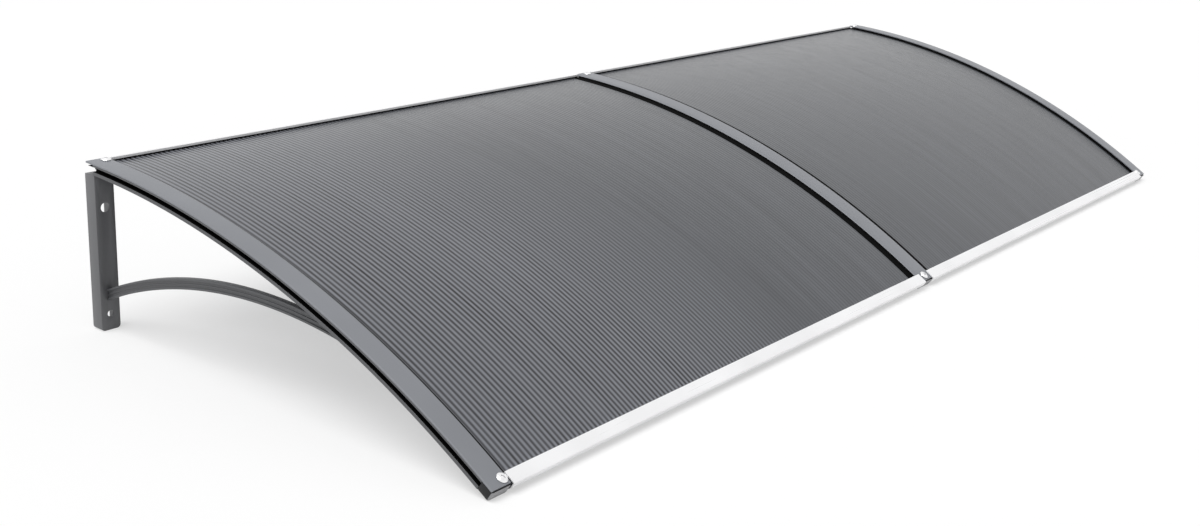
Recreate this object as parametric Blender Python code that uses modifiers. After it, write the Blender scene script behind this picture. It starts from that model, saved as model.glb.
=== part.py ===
"""Curved door canopy: three ribs on wall posts carry two bent twin-wall sheets.

Metres, +Z up. X runs along the wall, the posts' backs lie on the wall at the +Y
side, the canopy reaches out towards -Y and the posts' feet stand at Z = 0.
"""

import math

import bmesh
import bpy
from mathutils import Matrix, Vector

# Overall size
WIDTH = 2.000
HEIGHT = 0.2267
ARC_LENGTH = 0.743
ARC_RADIUS = 1.400
START_SLOPE = math.radians(1.7)
ARC_STEPS = 24

# Section through a rib: distances below the top of its cover
END_RIB = 0.030
CENTRE_RIB = 0.040
COVER_THICK = 0.0020
FLANGE_TOP = 0.0023
SLOT_TOP = 0.0050
SLOT_BOTTOM = 0.0110
PLATE_BOTTOM = 0.0130
LIP_BOTTOM = 0.0155
LIP_THICK = 0.0020
WEB_THICK = 0.0025
TONGUE = 0.0040
FLANGE_CUT_BACK = 0.0150
SHOULDER_DROP = 0.0040
KEY_INSET = 0.0060
GAP = 0.0003
EDGE = 0.0004

# Sheets
SHEET_TOP = 0.0053
SHEET_THICK = 0.0054
SHEET_WALL_GAP = 0.0020

# Front caps and front rails
CAP_LENGTH = 0.0172
CAP_STEP = 0.0020
CAP_CHAMFER = 0.0008
CAP_SIDE_CHAMFER = 0.0013
CAP_FOOT_INSET = 0.0010
CAP_FOOT_HEIGHT = 0.0045
CAP_FOOT_STEP = 0.0020
RAIL_THICK = 0.0015
RAIL_COVER = 0.0155
RAIL_BOTTOM = 0.0070
RAIL_END_GAP = 0.0005
RAIL_CENTRE_END = 0.0130

# Back rails
BACK_DEPTH = 0.0040
BACK_WALL = 0.0015
BACK_FOOT = 0.0080
BACK_DROP = 0.0130
GASKET_TOP = 0.0036
GASKET_BOTTOM = 0.0050
GASKET_WIDTH = 0.0022

# Screws
SCREW_INSET = 0.0232
SCREW_HEAD_R = 0.0068
SCREW_HEAD_H = 0.0030
SCREW_SHANK_R = 0.0024
SCREW_HOLE_R = 0.0027
FRONT_SCREW = 0.0106
BACK_SCREW = 0.0095
SCREW_STEPS = 20

# Posts
POST_WIDTH = 0.0276
POST_DEPTH = 0.0198
POST_BACK = 0.0050
POST_WALL = 0.0030
POST_CORNER = 0.0050
POST_TOP = 0.0167
UPPER_HOLE = 0.0605
UPPER_HOLE_R = 0.0063
LOWER_HOLE = 0.2044
LOWER_HOLE_R = 0.0045

# Arms
ARM_WIDTH = 0.0080
ARM_HEIGHT = 0.0140
ARM_RADIUS = 0.7637
ARM_FOOT = 0.1859
ARM_END = 0.5133
ARM_TIP = 0.0045
ARM_GROOVE = 0.0016
ARM_STEPS = 20

CENTRE_Y = ARC_RADIUS * math.sin(START_SLOPE)
CENTRE_Z = -ARC_RADIUS * math.cos(START_SLOPE)
HALF = WIDTH / 2


def arc_point(s, below):
    """(y, z) from the top edge of a cover's back end, at arc length s."""
    angle = START_SLOPE + s / ARC_RADIUS
    reach = ARC_RADIUS - below
    return CENTRE_Y - reach * math.sin(angle), CENTRE_Z + reach * math.cos(angle)


def wall_start(below):
    """The arc length at which a line that deep meets the plane of the back end."""
    angle = math.asin(CENTRE_Y / (ARC_RADIUS - below))
    return (angle - START_SLOPE) * ARC_RADIUS


REACH = -arc_point(ARC_LENGTH + GAP + RAIL_THICK, -GAP - RAIL_THICK)[0]
BACK_END_Y = (REACH - POST_BACK) / 2
POST_FRONT = POST_DEPTH - POST_BACK


def place(x, y, z):
    """A point measured from the covers' back end and top, in the canopy's frame."""
    return Vector((x, BACK_END_Y + y, HEIGHT + z))


def material(name, colour, metallic, roughness, alpha=1.0):
    made = bpy.data.materials.new(name)
    made.use_nodes = True
    shader = made.node_tree.nodes["Principled BSDF"]
    shader.inputs["Base Color"].default_value = (*colour, 1.0)
    shader.inputs["Metallic"].default_value = metallic
    shader.inputs["Roughness"].default_value = roughness
    shader.inputs["Alpha"].default_value = alpha
    made.diffuse_color = (*colour, alpha)
    return made


def clear_scene():
    for item in list(bpy.data.objects):
        bpy.data.objects.remove(item)
    for item in list(bpy.data.collections):
        bpy.data.collections.remove(item)


def new_object(name, mesh, look=None, cutter=False):
    obj = bpy.data.objects.new(name, mesh)
    if cutter:
        CUTTERS.objects.link(obj)
        obj.hide_render = True
        obj.display_type = "WIRE"
    else:
        PARTS.objects.link(obj)
    if look:
        mesh.materials.append(look)
    return obj


def close_normals(mesh):
    work = bmesh.new()
    work.from_mesh(mesh)
    bmesh.ops.recalc_face_normals(work, faces=work.faces)
    work.to_mesh(mesh)
    work.free()


def loft(name, rings, look=None, cutter=False):
    """A closed solid through rings of points, with flat ends."""
    count = len(rings[0])
    points = [point for ring in rings for point in ring]
    faces = [list(range(count)), [len(points) - count + i for i in range(count)]]
    for k in range(len(rings) - 1):
        base = k * count
        for i in range(count):
            j = (i + 1) % count
            faces.append([base + i, base + j, base + count + j, base + count + i])
    mesh = bpy.data.meshes.new(name)
    mesh.from_pydata([tuple(point) for point in points], [], faces)
    mesh.update()
    close_normals(mesh)
    return new_object(name, mesh, look, cutter)


def arc_loft(name, section, start, end, look, steps=ARC_STEPS):
    """A section of (x, below) points swept along the roof's arc."""
    rings = []
    for k in range(steps + 1):
        ring = []
        for x, below in section:
            first = start if start is not None else wall_start(below)
            s = first + (end - first) * k / steps
            ring.append(place(x, *arc_point(s, below)))
        rings.append(ring)
    return loft(name, rings, look)


def bar(name, section, x_start, x_end, look=None, cutter=False):
    """A section of (y, z) points drawn out along the wall."""
    rings = []
    for x in (x_start, x_end):
        rings.append([place(x, y, z) for y, z in section])
    return loft(name, rings, look, cutter)


def box(name, low, high, look=None, cutter=False):
    rings = []
    for z in (low[2], high[2]):
        rings.append(
            [
                Vector((low[0], low[1], z)),
                Vector((high[0], low[1], z)),
                Vector((high[0], high[1], z)),
                Vector((low[0], high[1], z)),
            ]
        )
    return loft(name, rings, look, cutter)


def cylinder(name, radius, start, direction, length, steps=24, cutter=True):
    """A round bar from a start point along a direction."""
    turn = direction.to_track_quat("Z", "Y").to_matrix()
    rings = []
    for along in (0.0, length):
        ring = []
        for i in range(steps):
            angle = 2 * math.pi * i / steps
            local = Vector((radius * math.cos(angle), radius * math.sin(angle), along))
            ring.append(start + turn @ local)
        rings.append(ring)
    return loft(name, rings, None, cutter)


def boolean(obj, other, operation="DIFFERENCE"):
    step = obj.modifiers.new(other.name, "BOOLEAN")
    step.operation = operation
    step.solver = "EXACT"
    step.object = other


def smooth(obj, angle=math.radians(35)):
    """Round surfaces shaded smooth, with edges sharper than the angle kept."""
    mesh = obj.data
    work = bmesh.new()
    work.from_mesh(mesh)
    for face in work.faces:
        face.smooth = True
    for edge in work.edges:
        edge.smooth = edge.calc_face_angle(0.0) < angle
    work.to_mesh(mesh)
    work.free()


def mirrored(section):
    """The section's left half followed by its mirror image."""
    return section + [(-x, below) for x, below in reversed(section)]


def arc_axis(s):
    """The outward direction of the arc at s."""
    angle = START_SLOPE + s / ARC_RADIUS
    return Vector((0, -math.sin(angle), math.cos(angle)))


def end_cover_section(x):
    half = END_RIB / 2
    left = [
        (-half, COVER_THICK),
        (-half, 0.0007),
        (-half + 0.0003, 0.0002),
        (-half + 0.0009, 0.0),
    ]
    return [(x + px, below) for px, below in mirrored(left)]


def centre_cover_section(x):
    half = CENTRE_RIB / 2
    key = half - KEY_INSET
    rim = SHOULDER_DROP - GAP
    left = [
        (-key, COVER_THICK),
        (-half + KEY_INSET / 2, rim),
        (-half, rim),
        (-half, rim - 0.0005),
        (-half + 0.0009, 0.0022),
        (-half + 0.0028, 0.0012),
        (-half + 0.0055, 0.0005),
        (-half + 0.0090, 0.0),
    ]
    return [(x + px, below) for px, below in mirrored(left)]


def rib_section(x, width, centre):
    """Lower part of a rib: plate, lips and web, with or without its flange."""
    half = width / 2
    web = WEB_THICK / 2
    if centre:
        key = half - KEY_INSET - EDGE
        shoulder = SHOULDER_DROP
        flange = [
            (-web, SLOT_TOP),
            (-half + 0.0005, SLOT_TOP),
            (-half + 0.0005, shoulder),
            (-half + 0.0026, shoulder),
            (-key, FLANGE_TOP),
        ]
    else:
        flange = [
            (-web, SLOT_TOP),
            (-half + 0.0005, SLOT_TOP),
            (-half + 0.0002, SLOT_TOP - 0.0006),
            (-half + 0.0002, FLANGE_TOP + 0.0008),
            (-half + 0.0007, FLANGE_TOP),
        ]
    lower = [
        (-half + LIP_THICK, PLATE_BOTTOM),
        (-half + LIP_THICK, LIP_BOTTOM),
        (-half, LIP_BOTTOM),
        (-half, SLOT_BOTTOM + 0.0004),
        (-half + 0.0004, SLOT_BOTTOM),
        (-web, SLOT_BOTTOM),
    ]
    return [(x + px, below) for px, below in mirrored(lower + flange)]


def make_rib(side, x, width):
    """The cover, the base and the front cap of one rib."""
    centre = side == "centre"
    section = centre_cover_section(x) if centre else end_cover_section(x)
    cover_end = ARC_LENGTH - CAP_STEP
    cover = arc_loft(f"cover_strip_{side}", section, None, cover_end, PAINT)

    rib_end = ARC_LENGTH - CAP_LENGTH - GAP
    rib = arc_loft(f"rafter_{side}", rib_section(x, width, centre), None, rib_end, PAINT)
    low = place(x - width, 0.01, -SLOT_TOP - 0.0001)
    high = place(x + width, -FLANGE_CUT_BACK, 0.01)
    notch = box(
        f"notch_{side}",
        (low.x, high.y, low.z),
        (high.x, low.y, high.z),
        cutter=True,
    )
    boolean(rib, notch)
    seat_rib(rib, side, x, width)

    cap = front_cap(side, x, width, centre)
    for obj in (cover, rib, cap):
        smooth(obj, math.radians(20))
    return cover, rib, cap


def seat_rib(rib, side, x, width):
    """Ends the plate at the post's front and leaves a tongue on the post's top."""
    front = -POST_FRONT - GAP
    open_top = -(SLOT_TOP + SLOT_BOTTOM) / 2
    for end, inner, outer in (("a", -TONGUE / 2, -width), ("b", TONGUE / 2, width)):
        low, high = sorted((x + inner, x + outer))
        cutter = box(
            f"seat_{side}_{end}",
            place(low, front, -2 * LIP_BOTTOM),
            place(high, 2 * GAP, open_top),
            cutter=True,
        )
        boolean(rib, cutter)
    tongue = box(
        f"tongue_{side}",
        place(x - TONGUE / 2, -POST_FRONT, -POST_TOP + GAP),
        place(x + TONGUE / 2, -SHEET_WALL_GAP, -(SLOT_BOTTOM + PLATE_BOTTOM) / 2),
        cutter=True,
    )
    boolean(rib, tongue, "UNION")


def front_cap(side, x, width, centre):
    """A block that closes the front of the rib under the cover."""
    half = width / 2
    inset = CAP_CHAMFER
    start = ARC_LENGTH - CAP_LENGTH
    trim = CAP_SIDE_CHAMFER
    stations = ((start, 0.0, 0.0), (ARC_LENGTH - trim, 0.0, 0.0), (ARC_LENGTH, inset, trim))
    rings = []
    for s, cut, side_cut in stations:
        left = [
            (-half + CAP_FOOT_INSET + side_cut, LIP_BOTTOM - cut),
            (-half + EDGE + cut, LIP_BOTTOM - CAP_FOOT_STEP - cut),
            (-half + side_cut, LIP_BOTTOM - CAP_FOOT_HEIGHT - cut),
        ]
        if centre:
            left.append((-half + side_cut, SHOULDER_DROP))
            left.append((-half + KEY_INSET / 2 - EDGE, SHOULDER_DROP))
            left.append((-half + KEY_INSET + EDGE, FLANGE_TOP))
        else:
            left.append((-half + side_cut, FLANGE_TOP + EDGE))
            left.append((-half + EDGE + side_cut, FLANGE_TOP))
        ring = []
        for px, below in mirrored(left):
            ring.append(place(x + px, *arc_point(s, below)))
        rings.append(ring)
    return loft(f"front_end_cap_{side}", rings, DARK)


def make_screw(name, x, s, reach):
    """A domed cross-recess screw standing on the cover at arc length s."""
    base = place(x, *arc_point(s, -GAP))
    axis = arc_axis(s)
    turn = axis.to_track_quat("Z", "Y").to_matrix().to_4x4()
    profile = [(0.0, SCREW_HEAD_H)]
    for degrees in (18, 36, 54, 72, 84):
        angle = math.radians(degrees)
        rise = SCREW_HEAD_H * (math.cos(angle) - math.cos(math.radians(84)) * degrees / 84)
        profile.append((SCREW_HEAD_R * math.sin(angle) / math.sin(math.radians(84)), rise))
    profile[-1] = (SCREW_HEAD_R, 0.0005)
    profile.append((SCREW_HEAD_R, 0.0))
    profile.append((SCREW_SHANK_R, 0.0))
    profile.append((SCREW_SHANK_R, -reach))
    profile.append((0.0, -reach))
    mesh = bpy.data.meshes.new(name)
    edges = [(i, i + 1) for i in range(len(profile) - 1)]
    mesh.from_pydata([(r, 0.0, z) for r, z in profile], edges, [])
    obj = new_object(name, mesh, CHROME)
    obj.matrix_world = Matrix.Translation(base) @ turn
    spin = obj.modifiers.new("spin", "SCREW")
    spin.axis = "Z"
    spin.angle = 2 * math.pi
    spin.steps = SCREW_STEPS
    spin.render_steps = SCREW_STEPS
    spin.use_merge_vertices = True
    spin.merge_threshold = 0.0001
    spin.use_normal_calculate = True
    spin.use_smooth_shade = True
    recess = cross_recess(f"recess_{name}")
    recess.matrix_world = obj.matrix_world
    boolean(obj, recess)
    return obj


def cross_recess(name):
    """A plus-shaped cutter for a screw head."""
    arm = 0.0029
    half = 0.0006
    outline = [
        (half, half),
        (half, arm),
        (-half, arm),
        (-half, half),
        (-arm, half),
        (-arm, -half),
        (-half, -half),
        (-half, -arm),
        (half, -arm),
        (half, -half),
        (arm, -half),
        (arm, half),
    ]
    rings = []
    for z in (SCREW_HEAD_H - 0.0017, SCREW_HEAD_H + 0.0020):
        rings.append([Vector((x, y, z)) for x, y in outline])
    return loft(name, rings, None, True)


def screw_hole(obj, x, s, reach):
    """A round hole through a piece, square to the arc."""
    start = place(x, *arc_point(s, reach))
    axis = arc_axis(s)
    name = f"hole_{obj.name}_{s:.3f}"
    boolean(obj, cylinder(name, SCREW_HOLE_R, start, axis, reach + 0.004, 16))


def make_sheet(side, x_left, x_right, left_width, right_width):
    """A bent sheet, notched at the front where the caps are."""
    bottom = SHEET_TOP + SHEET_THICK
    section = [(x_left, SHEET_TOP), (x_right, SHEET_TOP), (x_right, bottom), (x_left, bottom)]
    front = ARC_LENGTH - GAP
    sheet = arc_loft(f"roof_panel_{side}", section, SHEET_WALL_GAP, front, SHEET)
    behind = ARC_LENGTH - CAP_LENGTH - 4 * GAP
    corner = [
        arc_point(s, below)
        for s, below in (
            (behind, -0.01),
            (ARC_LENGTH + 0.02, -0.01),
            (ARC_LENGTH + 0.02, 0.03),
            (behind, 0.03),
        )
    ]
    for end, x_from, x_to in (
        ("a", x_left - 0.01, left_width),
        ("b", right_width, x_right + 0.01),
    ):
        boolean(sheet, bar(f"corner_{side}_{end}", corner, x_from, x_to, None, True))
    smooth(sheet)
    return sheet


def front_rail_section():
    """Angle over the sheet's front edge, as (y, z) points."""
    outer = ARC_LENGTH + GAP + RAIL_THICK
    inner = ARC_LENGTH + GAP
    top = -GAP - RAIL_THICK
    back = ARC_LENGTH - RAIL_COVER
    points = [
        (back, -GAP),
        (back, top),
        (outer - 0.0005, top),
        (outer, top + 0.0005),
        (outer, RAIL_BOTTOM),
        (inner, RAIL_BOTTOM),
        (inner, -GAP),
    ]
    return [arc_point(s, below) for s, below in points]


def make_front_rail(side, x_start, x_end, clear_start, clear_end):
    rail = bar(f"front_rail_{side}", front_rail_section(), x_start, x_end, RAIL)
    back = ARC_LENGTH - RAIL_COVER + EDGE
    lip = [
        arc_point(s, below)
        for s, below in (
            (back, -GAP - RAIL_THICK / 2),
            (back, SHEET_TOP - GAP),
            (back + RAIL_THICK, SHEET_TOP - GAP),
            (back + RAIL_THICK, -GAP - RAIL_THICK / 2),
        )
    ]
    boolean(rail, bar(f"lip_{side}", lip, clear_start, clear_end, None, True), "UNION")
    return rail


def make_back_rail(side, x_start, x_end):
    """Channel along the sheet's back edge."""
    section = [
        (0.0, 0.0),
        (-BACK_DEPTH + EDGE, 0.0),
        (-BACK_DEPTH, -EDGE),
        (-BACK_DEPTH, -GASKET_TOP + GAP),
        (-BACK_DEPTH + BACK_WALL, -GASKET_TOP + GAP),
        (-BACK_DEPTH + BACK_WALL, -BACK_WALL),
        (-BACK_WALL, -BACK_WALL),
        (-BACK_WALL, -BACK_DROP + BACK_WALL),
        (-BACK_FOOT, -BACK_DROP + BACK_WALL),
        (-BACK_FOOT, -BACK_DROP),
        (0.0, -BACK_DROP),
    ]
    return bar(f"back_rail_{side}", section, x_start, x_end, RAIL)


def make_gasket(side, x_start, x_end):
    y_front = -BACK_DEPTH - 0.0001
    section = [
        (y_front, -GASKET_TOP),
        (y_front - 0.0002, -(GASKET_TOP + GASKET_BOTTOM) / 2),
        (y_front, -GASKET_BOTTOM),
        (y_front + GASKET_WIDTH, -GASKET_BOTTOM),
        (y_front + GASKET_WIDTH, -GASKET_TOP),
    ]
    return bar(f"back_gasket_{side}", section, x_start, x_end, RUBBER)


def make_post(side, x):
    """A channel open to the wall and closed at the top, with two front holes."""
    half = POST_WIDTH / 2
    outer = box(
        f"wall_post_{side}",
        place(x - half, -POST_FRONT, -HEIGHT),
        place(x + half, POST_BACK, -POST_TOP),
        POST,
    )
    inner = box(
        f"hollow_{side}",
        place(x - half + POST_WALL, -POST_FRONT + POST_WALL, -HEIGHT - 0.01),
        place(x + half - POST_WALL, POST_BACK + 0.01, -POST_TOP - POST_WALL),
        cutter=True,
    )
    boolean(outer, inner)
    boolean(outer, foot_cutter(side, x))
    holes = ((UPPER_HOLE, UPPER_HOLE_R), (LOWER_HOLE, LOWER_HOLE_R))
    for depth, radius in holes:
        start = place(x, -POST_FRONT - 0.01, -depth)
        name = f"hole_{side}_{radius:.4f}"
        boolean(outer, cylinder(name, radius, start, Vector((0, 1, 0)), 0.02, 28))
    edge = outer.modifiers.new("edges", "BEVEL")
    edge.width = 0.0004
    edge.segments = 1
    edge.limit_method = "ANGLE"
    edge.angle_limit = math.radians(60)
    return outer


def foot_cutter(side, x):
    """Removes the two lower corners of a post, leaving them round."""
    half = POST_WIDTH / 2
    radius = POST_CORNER
    outline = [(-half - 0.01, -0.01), (-half - 0.01, radius)]
    for degrees in (0, 22.5, 45, 67.5, 90):
        angle = math.radians(degrees)
        px = -half + radius - radius * math.cos(angle)
        pz = radius - radius * math.sin(angle)
        outline.append((px, pz))
    right = [(-px, pz) for px, pz in reversed(outline[1:])]
    outline = outline[1:] + right + [(half + 0.01, -0.01), (-half - 0.01, -0.01)]
    rings = []
    for y in (-POST_FRONT - 0.01, POST_BACK + 0.01):
        rings.append([place(x + px, y, pz - HEIGHT - 0.00001) for px, pz in outline])
    return loft(f"foot_{side}", rings, None, True)


def bend_centre(y_from, z_from, y_to, z_to, radius):
    """The centre, below the line between two points, of a bend through both."""
    half = math.hypot(y_to - y_from, z_to - z_from) / 2
    drop = math.sqrt(radius * radius - half * half)
    along_y = (y_to - y_from) / (2 * half)
    along_z = (z_to - z_from) / (2 * half)
    y = (y_from + y_to) / 2 - along_z * drop
    z = (z_from + z_to) / 2 + along_y * drop
    return y, z


def make_arm(side, x):
    """A grooved bar that bends from the post up to the underside of the rib."""
    half = ARM_WIDTH / 2
    high = ARM_HEIGHT
    groove = ARM_GROOVE
    left = [
        (-half + 0.0005, 0.0),
        (-half, 0.0005),
        (-half, 0.0026),
        (-half + groove, 0.0030),
        (-half + groove, 0.0062),
        (-half + 0.0006, 0.0065),
        (-half + 0.0006, 0.0075),
        (-half + groove, 0.0078),
        (-half + groove, 0.0110),
        (-half, 0.0114),
        (-half, high - 0.0005),
        (-half + 0.0005, high),
    ]
    start_y = -POST_FRONT - GAP
    end_y, end_z = arc_point(ARM_END, PLATE_BOTTOM + GAP + ARM_TIP)
    centre_y, centre_z = bend_centre(start_y, -ARM_FOOT, end_y, end_z, ARM_RADIUS)
    last = math.asin((centre_y - end_y) / ARM_RADIUS)
    rings = []
    for k in range(ARM_STEPS + 1):
        ring = []
        for px, up in mirrored(left):
            radius = ARM_RADIUS + up
            begin = math.asin((centre_y - start_y) / radius)
            angle = begin + (last - begin) * k / ARM_STEPS
            y = centre_y - radius * math.sin(angle)
            z = centre_z + radius * math.cos(angle)
            ring.append(place(x + px, y, z))
        rings.append(ring)
    arm = loft(f"support_arm_{side}", rings, PAINT)
    boolean(arm, underside_cutter(side, x))
    smooth(arm, math.radians(20))
    return arm


def underside_cutter(side, x):
    """Everything above the plate of the rib, less a small gap."""
    below = PLATE_BOTTOM + GAP
    rings = []
    for px in (x - 0.006, x + 0.006):
        ring = []
        for k in range(ARC_STEPS + 1):
            ring.append(place(px, *arc_point(ARC_LENGTH * k / ARC_STEPS, below)))
        for k in range(ARC_STEPS, -1, -1):
            ring.append(place(px, *arc_point(ARC_LENGTH * k / ARC_STEPS, -ARM_HEIGHT)))
        rings.append(ring)
    return loft(f"underside_{side}", rings, None, True)


def build():
    end_x = HALF - END_RIB / 2
    centre_half = CENTRE_RIB / 2
    ribs = (("left", -end_x, END_RIB), ("centre", 0.0, CENTRE_RIB), ("right", end_x, END_RIB))
    for side, x, width in ribs:
        cover, _, cap = make_rib(side, x, width)
        screw_x = x
        if side == "left":
            screw_x = -HALF + SCREW_INSET
        if side == "right":
            screw_x = HALF - SCREW_INSET
        front_s = ARC_LENGTH - FRONT_SCREW
        for s in (front_s, BACK_SCREW):
            screw_hole(cover, screw_x, s, COVER_THICK + 0.002)
        screw_hole(cap, screw_x, front_s, 0.0100)
        make_screw(f"front_screw_{side}", screw_x, front_s, 0.0085)
        make_screw(f"back_screw_{side}", screw_x, BACK_SCREW, 0.0045)
        make_post(side, x)
        make_arm(side, x)

    web = WEB_THICK / 2 + 0.0010
    inner = HALF - END_RIB
    for side, turn in (("left", -1), ("right", 1)):
        spans = sorted((turn * (end_x - web), turn * web))
        clear = sorted((turn * (inner - 0.0008), turn * (centre_half + 0.0008)))
        make_sheet(side, spans[0], spans[1], clear[0], clear[1])
        rail = sorted((turn * (inner - RAIL_END_GAP), turn * RAIL_CENTRE_END))
        make_front_rail(side, rail[0], rail[1], clear[0], clear[1])
        back = sorted((turn * (inner - GAP), turn * (centre_half + GAP)))
        make_back_rail(side, back[0], back[1])
        make_gasket(side, back[0], back[1])


clear_scene()
PARTS = bpy.data.collections.new("door_canopy")
CUTTERS = bpy.data.collections.new("cutters")
bpy.context.scene.collection.children.link(PARTS)
bpy.context.scene.collection.children.link(CUTTERS)
CUTTERS.hide_render = True

PAINT = material("grey_powder_coat", (0.26, 0.27, 0.28), 0.0, 0.45)
POST = material("dark_powder_coat", (0.11, 0.11, 0.12), 0.0, 0.45)
DARK = material("dark_end_cap", (0.05, 0.05, 0.05), 0.0, 0.50)
RAIL = material("mill_aluminium", (0.90, 0.90, 0.91), 0.9, 0.30)
SHEET = material("dark_twin_wall_sheet", (0.04, 0.04, 0.04), 0.0, 0.10)
RUBBER = material("black_seal", (0.02, 0.02, 0.02), 0.0, 0.60)
CHROME = material("bright_screw", (0.85, 0.85, 0.86), 1.0, 0.12)

build()
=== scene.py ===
"""Door canopy: arched ribs on wall posts, bent twin-wall sheets and their rails.

Lengths are in metres. Sections are drawn as (x, below) points, where below is the
distance under the top of a rib's cover, and are swept along the roof's arc.
"""

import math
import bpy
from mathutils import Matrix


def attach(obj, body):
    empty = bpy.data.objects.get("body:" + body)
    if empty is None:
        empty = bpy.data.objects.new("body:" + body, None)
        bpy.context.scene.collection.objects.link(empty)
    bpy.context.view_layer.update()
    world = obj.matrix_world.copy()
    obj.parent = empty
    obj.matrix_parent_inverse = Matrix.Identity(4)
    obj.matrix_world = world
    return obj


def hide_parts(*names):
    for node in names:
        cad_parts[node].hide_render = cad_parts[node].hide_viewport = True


bl_info = {
    "name": "Door Canopy",
    "version": (1, 0, 0),
    "blender": (4, 5, 0),
    "location": "View3D > Sidebar > Canopy",
    "description": "Builds a curved door canopy with two twin-wall sheets",
    "category": "Add Mesh",
}

import bmesh
import bpy
from bpy.props import FloatProperty, FloatVectorProperty, IntProperty, PointerProperty
from mathutils import Matrix, Vector

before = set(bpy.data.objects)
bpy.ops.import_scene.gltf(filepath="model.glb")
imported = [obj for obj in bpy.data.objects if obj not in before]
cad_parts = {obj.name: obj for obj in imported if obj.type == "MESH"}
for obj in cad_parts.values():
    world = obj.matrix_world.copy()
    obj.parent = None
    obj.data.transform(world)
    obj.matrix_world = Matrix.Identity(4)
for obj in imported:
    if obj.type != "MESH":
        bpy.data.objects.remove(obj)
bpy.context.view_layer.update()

GAP = 0.0003
EDGE = 0.0003

# Depths below the top of a rib's cover, at its middle
COVER_THICK = 0.0020
FLANGE_TOP = 0.0023
SHOULDER = 0.0040
SLOT_TOP = 0.0050
SLOT_BOTTOM = 0.0110
PLATE_BOTTOM = 0.0130
LIP_BOTTOM = 0.0155

# Ribs and caps
LIP_THICK = 0.0020
WEB_THICK = 0.0025
FLANGE_CUT_BACK = 0.0150
CAP_FOOT_INSET = 0.0010
CAP_FRONT_CHAMFER = 0.0008
CAP_SIDE_CHAMFER = 0.0013

# Sheets
SHEET_SKIN = 0.0007
SHEET_RIB = 0.0005
SHEET_CLEAR = 0.0008
SHEET_BACK = 0.0020
SEAL_BACK = 0.0055
# Where the painted light and shade of the sheets' inner ribs fades out across the canopy
LINES_FADE_FROM = -0.72
LINES_FADE_TO = -0.42
LINES_FADE_SLANT = 0.28

# Rails
RAIL_THICK = 0.0015
RAIL_BEND = 0.0009
RAIL_LIP = 0.0050
RAIL_MIDDLE_END = 0.0130
RAIL_END_GAP = 0.0005
BACK_RAIL_DEPTH = 0.0040
BACK_RAIL_WALL = 0.0015
BACK_RAIL_HOOK = 0.0033
BACK_RAIL_FOOT = 0.0080
BACK_RAIL_DROP = 0.0130
BACK_SEAL_TOP = 0.0036
BACK_SEAL_BOTTOM = 0.0050

# Posts and arms: each hole is (depth below the covers, radius)
POST_CORNER = 0.0050
POST_HOLES = ((0.0605, 0.0063), (0.2044, 0.0045))
ARM_WIDTH = 0.0080
ARM_HEIGHT = 0.0140
ARM_GROOVE = 0.0016
ARM_TIP = 0.0045

# Screws
SCREW_RADIUS = 0.0068
SCREW_SHANK = 0.0024
FRONT_SCREW = 0.0106
BACK_SCREW = 0.0095

# Studio
FLOOR_REACH = 40.0
FLOOR_DROP = 0.0002
FLOOR_WHITE = 0.52
KEY_STRENGTH = 2.15
KEY_SPREAD = math.radians(50)
KEY_TRAVEL = (0.38, -0.02, -0.92)
SKY_STRENGTH = 0.42

# Camera, placed from the covers' back end and top
PICTURE_WIDTH_PIXELS = 1200.0
FOCAL_LENGTH_PIXELS = 1453.0
SENSOR_WIDTH = 36.0
CAMERA_PLACE = (-2.01292, -1.59485, 0.47621)
CAMERA_RIGHT = (0.618698, -0.783792, 0.053693)
CAMERA_UP = (0.21012, 0.230941, 0.950008)
CAMERA_BACK = (-0.757009, -0.576487, 0.307573)

PAINTS = {}


def length(name, default, note):
    return FloatProperty(
        name=name,
        description=note,
        default=default,
        min=0.0,
        precision=4,
        unit="LENGTH",
    )


def colour(name, default, note):
    return FloatVectorProperty(
        name=name,
        description=note,
        default=default,
        size=3,
        min=0.0,
        max=1.0,
        subtype="COLOR",
    )


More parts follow.
